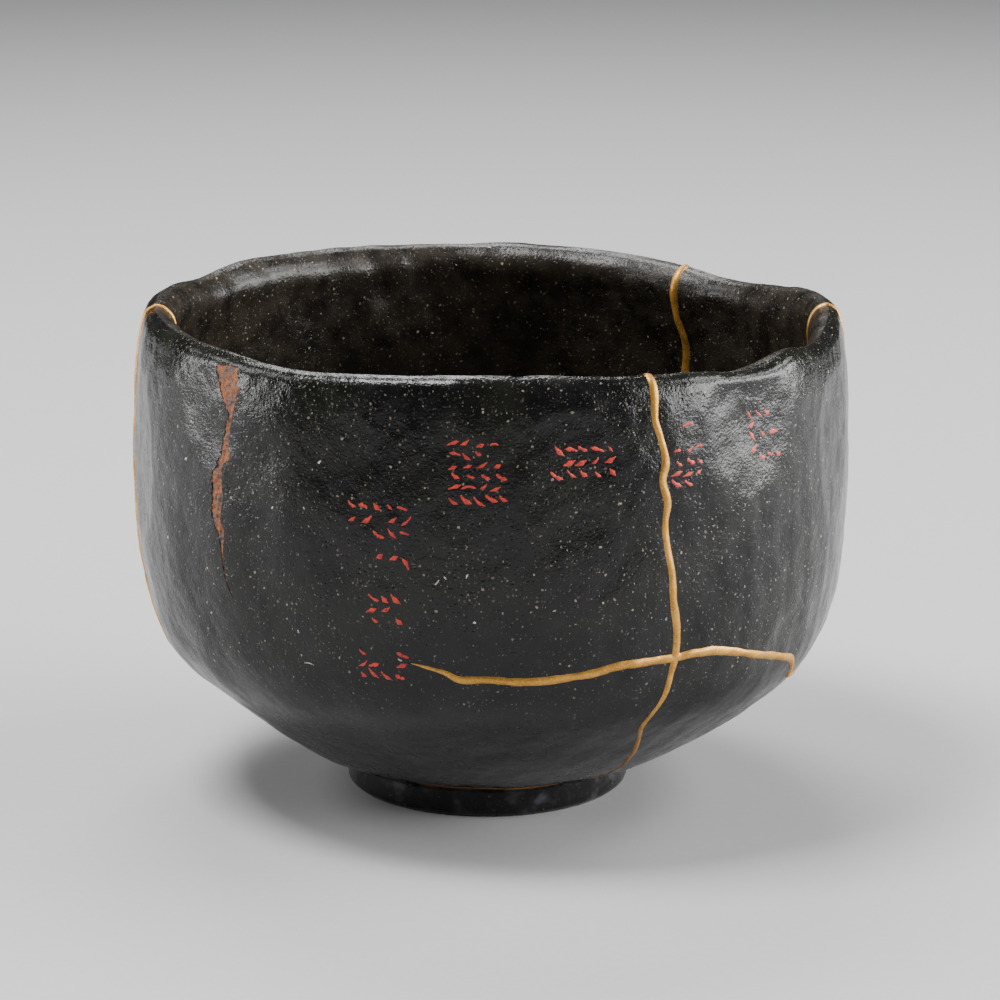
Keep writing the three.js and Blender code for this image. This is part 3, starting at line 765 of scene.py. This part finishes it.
def dab(degrees, height, length, width, turn, thick):
    """One touch of the brush, a low lens that tapers at both ends and follows the skin."""
    s = np.linspace(0, 1, 14)
    across = np.sin(np.linspace(-math.pi / 2, math.pi / 2, MARK_POINTS))
    half = width / 2 * np.sin(math.pi * np.clip(s, 0.02, 0.98)) ** 0.45 * (1 + 0.3 * np.sin(9 * s + turn * 7))
    along = (s - 0.5) * length
    bend = 0.12 * length * np.sin(math.pi * s) * math.cos(turn * 5)
    x = along[:, None] * math.cos(turn) - (bend[:, None] + half[:, None] * across) * math.sin(turn)
    y = along[:, None] * math.sin(turn) + (bend[:, None] + half[:, None] * across) * math.cos(turn)
    start = np.array(float(degrees)), station_at(np.array(float(height)))
    east = unit(smooth_skin(start[0] + 1, start[1]) - smooth_skin(start[0] - 1, start[1]))
    up = unit(smooth_skin(start[0], start[1] + 0.02) - smooth_skin(start[0], start[1] - 0.02))
    spread = slide(*start, x[..., None] * east + y[..., None] * up)
    points, normal = skin(*spread)
    crown = (1 - across**2) * np.sin(math.pi * np.clip(s, 0.02, 0.98))[:, None] ** 0.5
    upper = points + normal * (thick * crown - 0.02)[..., None]
    lower = (points - normal * 0.12)[:, ::-1]
    return np.concatenate([upper, lower], 1)


def dabs_piece(name, rings):
    points, faces = [], []
    for ring in rings:
        start = len(points)
        points += placed(ring).reshape(-1, 3).tolist()
        faces += [tuple(start + k for k in face) for face in capped_faces(len(ring), ring.shape[1])]
    return closed_piece(name, np.array(points), faces)


def red_strokes():
    """Plain rows of short slanting strokes, each row leaning its own way, with worn gaps."""
    rng = np.random.default_rng(12)
    rings = []
    for degrees, height, half_width, half_height, rows, worn in MARKS:
        for row in range(rows):
            y = (2 * (row + 0.5) / rows - 1) * half_height
            lean = 0.45 if row % 2 else 2.5
            x = -half_width + rng.uniform(0.0, 0.6)
            while x < half_width:
                length, width = rng.uniform(1.2, 2.4), rng.uniform(0.38, 0.8)
                turn, lift = lean + rng.normal() * 0.18, y + rng.normal() * 0.18
                if rng.uniform() > worn:
                    place = degrees + math.degrees(x / WALL_RADIUS), height + lift
                    rings.append(dab(*place, length, width, turn, STROKE_THICK))
                x += rng.uniform(1.7, 2.4)
    return dabs_piece("red_brush_marks", rings)


def red_lacquer():
    material, tree, shader = new_material("vermilion")
    place = in_mm(tree)
    patchy, fine = grainy(tree, place, 1.1, 3.0, 0.6), grainy(tree, place, 0.3, 2.0, 0.6)
    colour = blended(tree, between(tree, patchy, 0.35, 0.65), (0.38, 0.018, 0.010), (0.64, 0.040, 0.016))
    colour = blended(tree, between(tree, fine, 0.56, 0.70), colour, (0.02, 0.008, 0.008))
    tree.links.new(colour, shader.inputs["Base Color"])
    tree.links.new(between(tree, fine, 0.3, 0.7, 0.42, 0.6), shader.inputs["Roughness"])
    worn = use_group(tree, pits, Grain=0.03, Pits=0.03, Ripple=0.02)["Height"]
    raise_skin(tree, shader, worn)
    return material


marks = red_strokes()
coat(marks, red_lacquer())
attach(marks, "root")


# ---------------------------------------------------------------------------------------------
# The pale flecks. Small chips and scratches that show the bare clay, where stones burst through
# the glaze or the wall was knocked. Each is a thin crust left level with the skin.
# ---------------------------------------------------------------------------------------------

# Each: degrees, height, length, width and turn.
FLECKS = [
    (-144.5, 64.4, 1.1, 0.5, 0.6), (-119.8, 34.4, 2.2, 0.18, 3.1), (-98.0, 50.4, 1.1, 0.3, 0.9),
    (-96.8, 51.1, 0.8, 0.3, 2.2), (-93.5, 51.4, 0.9, 0.26, 1.2), (-92.5, 43.8, 0.6, 0.5, 0.3),
    (-116.7, 68.8, 0.8, 0.5, 0.8), (-124.8, 60.3, 0.6, 0.4, 1.0), (-119.0, 61.1, 0.5, 0.35, 2.0),
    (-150.5, 49.7, 0.8, 0.4, 1.4), (-140.0, 39.4, 0.6, 0.4, 0.5), (-139.3, 47.3, 0.5, 0.35, 2.5),
    (-121.2, 39.9, 0.6, 0.35, 1.8), (-104.2, 37.0, 0.8, 0.35, 2.7),
]


def bare_clay():
    material, tree, shader = new_material("bare_clay")
    place = in_mm(tree)
    patchy, fine = grainy(tree, place, 0.5, 3.0, 0.6), grainy(tree, place, 0.2, 2.0, 0.6)
    colour = blended(tree, between(tree, patchy, 0.3, 0.7), (0.30, 0.26, 0.19), (0.58, 0.55, 0.47))
    tree.links.new(colour, shader.inputs["Base Color"])
    tree.links.new(between(tree, fine, 0.3, 0.7, 0.6, 0.85), shader.inputs["Roughness"])
    return material


FLECK_THICK = 0.05
flecks = dabs_piece("bare_clay_flecks", [dab(*fleck, FLECK_THICK) for fleck in FLECKS])
coat(flecks, bare_clay())
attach(flecks, "root")


# ---------------------------------------------------------------------------------------------
# The floor. A wide sheet of plain pale paper, which isn't part of the bowl.
# ---------------------------------------------------------------------------------------------

FLOOR_HALF = 3.0
floor_mesh = bpy.data.meshes.new("floor")
corners = [(x * FLOOR_HALF, y * FLOOR_HALF, 0) for x, y in ((-1, -1), (1, -1), (1, 1), (-1, 1))]
floor_mesh.from_pydata(corners, [], [(0, 1, 2, 3)])
floor = bpy.data.objects.new("floor", floor_mesh)
bpy.context.scene.collection.objects.link(floor)
paper, paper_tree, paper_shader = new_material("pale_paper")
paper_place = in_mm(paper_tree)
fibres = grainy(paper_tree, paper_place, 1.5, 3.0)
paper_colour = blended(paper_tree, fibres, (0.42, 0.42, 0.43), (0.46, 0.46, 0.47))
paper_tree.links.new(paper_colour, paper_shader.inputs["Base Color"])
paper_shader.inputs["Roughness"].default_value = 0.8
floor_mesh.materials.append(paper)


# ---------------------------------------------------------------------------------------------
# The light and the camera. Softboxes at both sides, behind and over the bowl, in a dim room,
# and a camera well back with a long lens, a little above the lip.
# ---------------------------------------------------------------------------------------------

def soft_light(name, place, target, size, power):
    """A rectangular soft light that faces the target."""
    lamp = bpy.data.lights.new(name, "AREA")
    lamp.shape, lamp.size, lamp.size_y, lamp.energy = "RECTANGLE", size[0], size[1], power
    light = bpy.data.objects.new(name, lamp)
    light.location = place
    aim = np.array(target) - np.array(place)
    light.rotation_euler = Vector(aim).to_track_quat("-Z", "Y").to_euler()
    bpy.context.scene.collection.objects.link(light)
    return light


bowl_middle = (0.0, 0.0, 0.05)
soft_light("left_softbox", (-0.95, 0.02, 0.18), bowl_middle, (0.50, 0.22), 5.0)
soft_light("left_high_softbox", (-0.75, 0.1, 0.62), bowl_middle, (0.5, 0.2), 3.0)
soft_light("right_softbox", (0.90, -0.10, 0.26), bowl_middle, (0.95, 0.40), 20.0)
soft_light("right_high_softbox", (0.7, 0.1, 0.70), bowl_middle, (0.6, 0.25), 6.0)
soft_light("overhead_softbox", (-0.1, 0.60, 0.90), bowl_middle, (0.5, 0.35), 9.0)
soft_light("lip_softbox", (-0.35, -0.14, 0.97), bowl_middle, (0.34, 0.34), 14.0)

world = bpy.data.worlds.new("studio")
world.use_nodes = True
world.node_tree.nodes["Background"].inputs[0].default_value = (0.75, 0.77, 0.82, 1)
world.node_tree.nodes["Background"].inputs[1].default_value = 0.06
bpy.context.scene.world = world

CAMERA_DISTANCE = 0.650
CAMERA_RISE = math.radians(14)
LOOK_AT = np.array([1.3 + OFF_MIDDLE, 0.0, 48.5]) * MM
camera_data = bpy.data.cameras.new("camera")
camera_data.sensor_width = 36
camera_data.lens = 138.6
camera = bpy.data.objects.new("camera", camera_data)
camera.location = LOOK_AT + CAMERA_DISTANCE * np.array([0, -math.cos(CAMERA_RISE), math.sin(CAMERA_RISE)])
camera.rotation_euler = (math.radians(90) - CAMERA_RISE, 0, 0)
bpy.context.scene.collection.objects.link(camera)
bpy.context.scene.camera = camera
